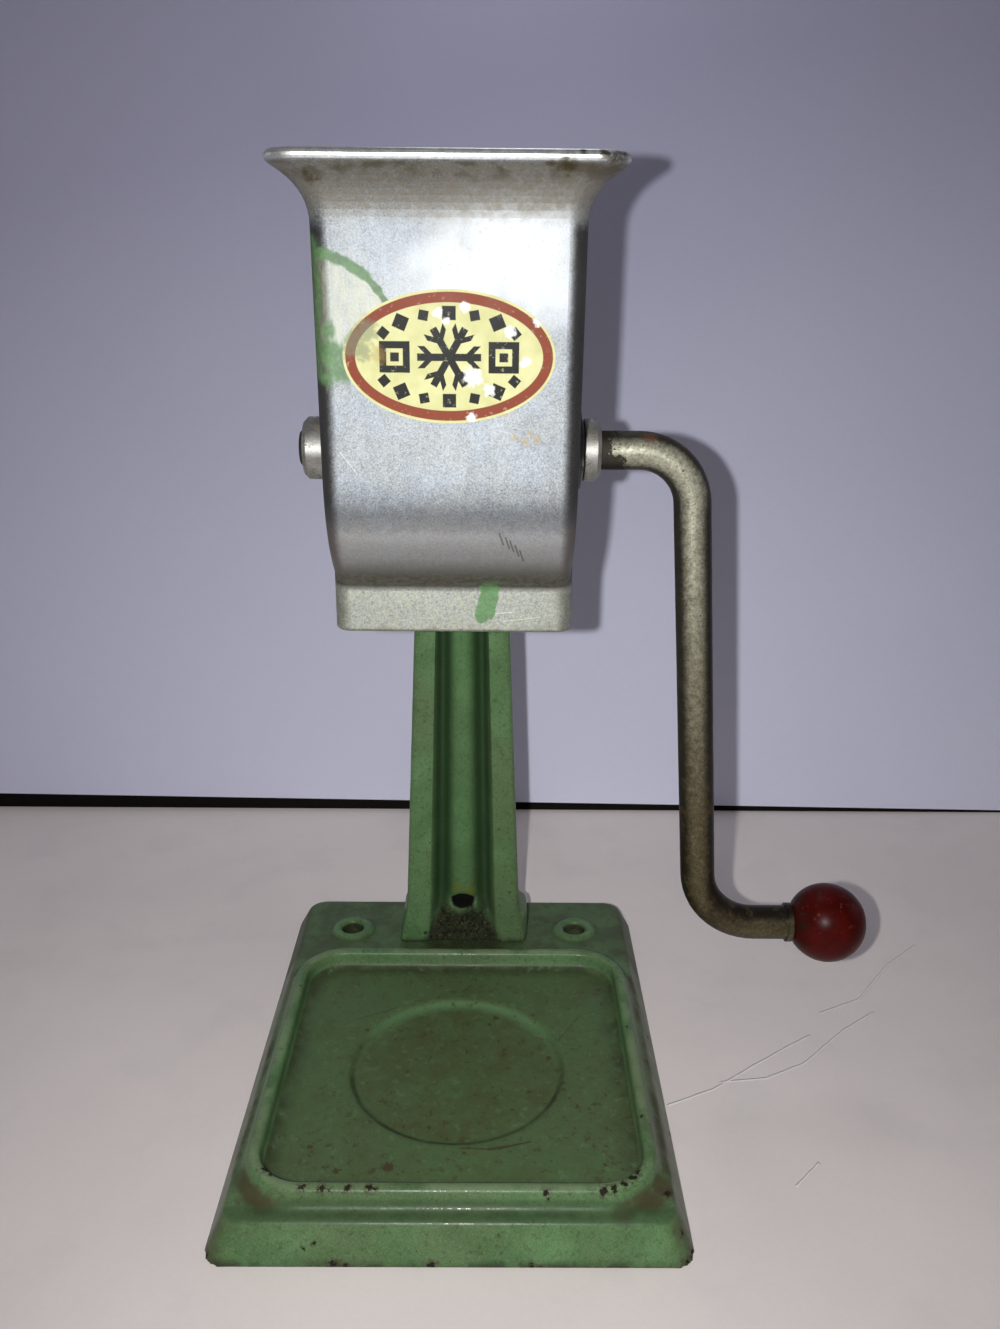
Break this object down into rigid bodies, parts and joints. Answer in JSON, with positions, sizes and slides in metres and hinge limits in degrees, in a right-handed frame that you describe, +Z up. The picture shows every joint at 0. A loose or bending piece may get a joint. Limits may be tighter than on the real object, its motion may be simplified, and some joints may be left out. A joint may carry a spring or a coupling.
{
  "type": "hand crank ice crusher",
  "caption": "Table-top ice crusher with a flared cast hopper on a ribbed column, a bent rod crank with a ball knob, and a base with a tray for a glass.",
  "frame": {"origin": "on the base's underside, midway between the two bench screw holes", "axes": "+X towards the crank, +Y towards the back, behind the column, +Z up"},
  "size_m": [0.1775, 0.158, 0.2522],
  "materials": {
    "green_enamel": "gloss green enamel on cast iron, chipped at the edges",
    "cast_aluminium": "satin cast aluminium, stained in the corners",
    "plated_iron": "dull plated iron",
    "zinc_steel": "zinc plated",
    "bronze": "sintered bronze",
    "worn_steel": "worn plating with dark pitting",
    "turned_steel": "turned steel",
    "red_knob": "gloss dark red",
    "printed_label": "varnished print with a brick red ring"
  },
  "bodies": {
    "stand": {"base_casting": "green_enamel", "column_casting": "green_enamel", "column_screws": "zinc_steel", "column_lock_washers": "zinc_steel", "hopper_shell": "cast_aluminium", "hopper_screws": "zinc_steel", "hopper_lock_washers": "zinc_steel", "breaker_comb": "plated_iron", "label_plate": "printed_label", "bush_left": "bronze", "bush_right": "bronze", "thrust_washer_left": "zinc_steel", "thrust_washer_right": "zinc_steel"},
    "crank": {"crank_rod": "worn_steel", "breaker_rotor": "plated_iron", "rotor_pin": "zinc_steel", "collar_left": "turned_steel", "collar_right": "turned_steel", "collar_pins": "zinc_steel", "knob_ferrule": "turned_steel", "knob_washer": "zinc_steel", "knob_screw": "zinc_steel"},
    "knob": {"knob": "red_knob"}
  },
  "joints": [
    {"name": "crank_turn", "type": "hinge", "parent": "stand", "child": "crank", "pos_m": [0, -0.064, 0.188], "axis": [1, 0, 0], "continuous": true},
    {"name": "knob_spin", "type": "hinge", "parent": "crank", "child": "knob", "pos_m": [0.1058, -0.064, 0.054], "axis": [1, 0, 0], "continuous": true}
  ]
}
